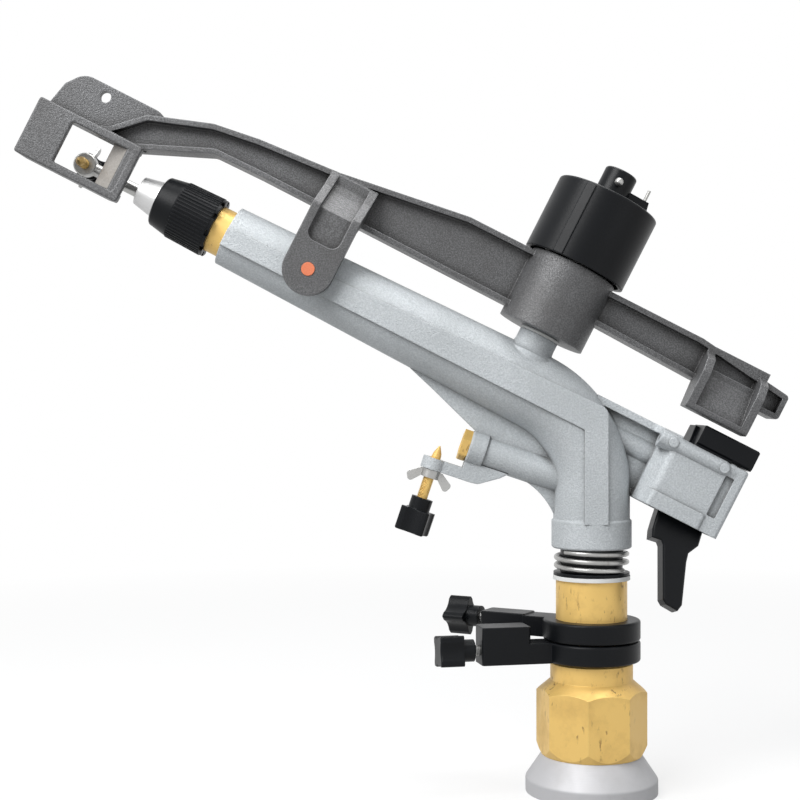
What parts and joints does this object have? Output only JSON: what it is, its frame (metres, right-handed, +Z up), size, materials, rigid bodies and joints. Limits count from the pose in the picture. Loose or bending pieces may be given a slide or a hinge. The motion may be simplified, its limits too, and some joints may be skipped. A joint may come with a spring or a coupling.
{
  "type": "impulse sprinkler",
  "caption": "Large impact sprinkler gun on a threaded riser adapter, with a spring-returned rocker arm, screwed nozzle cap, jet breaker screws, trip lever and clamped sector stops.",
  "frame": {"origin": "on the turning axis at the foot of the riser adapter, the plane of its thread's mouth", "axes": "+Z up along the turning axis, the barrel points towards -X and up, the rocker arm's lug is on the -Y side"},
  "size_m": [0.42, 0.092, 0.3922],
  "materials": {
    "casting": "sand cast, silver-grey",
    "adapter": "turned and brushed",
    "arm": "dark grey coat on a sand casting",
    "brass": "machined",
    "steel": "bright steel",
    "tip": "turned",
    "black_plastic": "moulded",
    "white_plastic": "moulded",
    "rubber": "soft",
    "orange": "moulded"
  },
  "bodies": {
    "riser": {"riser_adapter": "adapter", "inlet_sleeve": "brass", "lower_seal": "rubber", "sand_sleeve": "black_plastic", "white_washer": "white_plastic", "black_washers": "black_plastic", "sand_spring": "steel"},
    "gun": {"gun_casting": "casting", "spindle": "brass", "lower_washer": "steel", "nozzle_seat": "brass", "flow_vanes": "white_plastic", "secondary_nozzle": "brass", "breaker_rod": "steel", "rod_screw": "steel", "arm_shaft": "steel", "thrust_washer": "white_plastic", "torsion_spring": "steel", "spring_cap": "black_plastic", "split_pin": "steel", "trip_pin": "steel", "anvil_pin": "steel"},
    "arm": {"rocker_arm": "arm", "upper_bush": "white_plastic", "lower_bush": "white_plastic", "bumper": "orange"},
    "jet_tip": {"nozzle_tip": "tip"},
    "jet_cap": {"nozzle_cap": "black_plastic"},
    "lower_stop": {"lower_stop_ring": "black_plastic"},
    "lower_stop_bolt": {"lower_stop_screw": "steel"},
    "lower_stop_grip": {"lower_stop_knob": "black_plastic"},
    "upper_stop": {"upper_stop_ring": "black_plastic"},
    "upper_stop_bolt": {"upper_stop_screw": "steel"},
    "upper_stop_grip": {"upper_stop_knob": "black_plastic"},
    "front_pin": {"front_breaker_pin": "brass"},
    "front_grip": {"front_breaker_knob": "black_plastic"},
    "front_nut": {"front_wing_nut": "steel"},
    "lower_pin": {"lower_breaker_pin": "brass"},
    "lower_grip": {"lower_breaker_knob": "black_plastic"},
    "lower_nut": {"lower_wing_nut": "steel"},
    "trip": {"trip_lever": "black_plastic"},
    "striker": {"anvil": "black_plastic", "toggle_spring": "steel"}
  },
  "joints": [
    {"name": "gun_turn", "type": "hinge", "parent": "riser", "child": "gun", "pos_m": [0, 0, 0.1], "axis": [0, 0, 1], "continuous": true},
    {"name": "lower_stop_turn", "type": "hinge", "parent": "riser", "child": "lower_stop", "pos_m": [0, 0, 0.0758], "axis": [0, 0, 1], "range_deg": [0, 130]},
    {"name": "upper_stop_turn", "type": "hinge", "parent": "riser", "child": "upper_stop", "pos_m": [0, 0, 0.0879], "axis": [0, 0, 1], "range_deg": [-130, 0]},
    {"name": "arm_swing", "type": "hinge", "parent": "gun", "child": "arm", "pos_m": [-0.019, 0, 0.269], "axis": [0.454, 0, 0.891], "range_deg": [0, 60], "stiffness_Nm_per_rad": 0.3, "springref_deg": -34.38},
    {"name": "trip_swing", "type": "hinge", "parent": "gun", "child": "trip", "pos_m": [0.05111, 0, 0.16033], "axis": [-0.891, 0, 0.454], "range_deg": [-29, 0]},
    {"name": "anvil_tilt", "type": "hinge", "parent": "gun", "child": "striker", "pos_m": [0.06155, -0.0146, 0.18082], "axis": [-0.891, 0, 0.454], "range_deg": [-15, 0]},
    {"name": "tip_travel", "type": "slide", "parent": "gun", "child": "jet_tip", "axis": [-0.891, 0, 0.454], "range_m": [0, 0.0055]},
    {"name": "cap_turn", "type": "hinge", "parent": "jet_tip", "child": "jet_cap", "pos_m": [-0.2183, 0, 0.31443], "axis": [-0.891, 0, 0.454], "range_deg": [-0.5, 990.5]},
    {"name": "lower_stop_screw_travel", "type": "slide", "parent": "lower_stop", "child": "lower_stop_bolt", "axis": [-0.9781, -0.2079, 0], "range_m": [0, 0.004]},
    {"name": "lower_stop_screw_turn", "type": "hinge", "parent": "lower_stop_bolt", "child": "lower_stop_grip", "pos_m": [-0.05849, -0.01243, 0.0792], "axis": [-0.9781, -0.2079, 0], "range_deg": [-0.5, 1440.5]},
    {"name": "upper_stop_screw_travel", "type": "slide", "parent": "upper_stop", "child": "upper_stop_bolt", "axis": [-0.8746, 0.4848, 0], "range_m": [0, 0.004]},
    {"name": "upper_stop_screw_turn", "type": "hinge", "parent": "upper_stop_bolt", "child": "upper_stop_grip", "pos_m": [-0.0523, 0.02899, 0.0907], "axis": [-0.8746, 0.4848, 0], "range_deg": [-0.5, 1440.5]},
    {"name": "front_breaker_travel", "type": "slide", "parent": "gun", "child": "front_pin", "axis": [0, 1, 0], "range_m": [-0.0035, 0.014]},
    {"name": "front_breaker_turn", "type": "hinge", "parent": "front_pin", "child": "front_grip", "pos_m": [-0.28272, 0.042, 0.34725], "axis": [0, 1, 0], "range_deg": [-1575.5, 6300.5]},
    {"name": "lower_breaker_travel", "type": "slide", "parent": "gun", "child": "lower_pin", "axis": [-0.319, 0, -0.9478], "range_m": [-0.0035, 0.007]},
    {"name": "lower_breaker_turn", "type": "hinge", "parent": "lower_pin", "child": "lower_grip", "pos_m": [-0.09608, 0, 0.15127], "axis": [-0.319, 0, -0.9478], "range_deg": [-1575.5, 3150.5]},
    {"name": "front_nut_turn", "type": "hinge", "parent": "gun", "child": "front_nut", "pos_m": [-0.28272, 0.0281, 0.34725], "axis": [0, 1, 0], "continuous": true},
    {"name": "lower_nut_turn", "type": "hinge", "parent": "gun", "child": "lower_nut", "pos_m": [-0.08833, 0, 0.1743], "axis": [-0.319, 0, -0.9478], "continuous": true}
  ],
  "couplings": [
    {"joint": "anvil_tilt", "follows": "trip_swing", "ratio": 0.51724},
    {"joint": "cap_turn", "follows": "tip_travel", "rad_per_m": 3141.6},
    {"joint": "lower_stop_screw_turn", "follows": "lower_stop_screw_travel", "rad_per_m": 6283.2},
    {"joint": "upper_stop_screw_turn", "follows": "upper_stop_screw_travel", "rad_per_m": 6283.2},
    {"joint": "front_breaker_turn", "follows": "front_breaker_travel", "rad_per_m": 7854},
    {"joint": "lower_breaker_turn", "follows": "lower_breaker_travel", "rad_per_m": 7854}
  ]
}
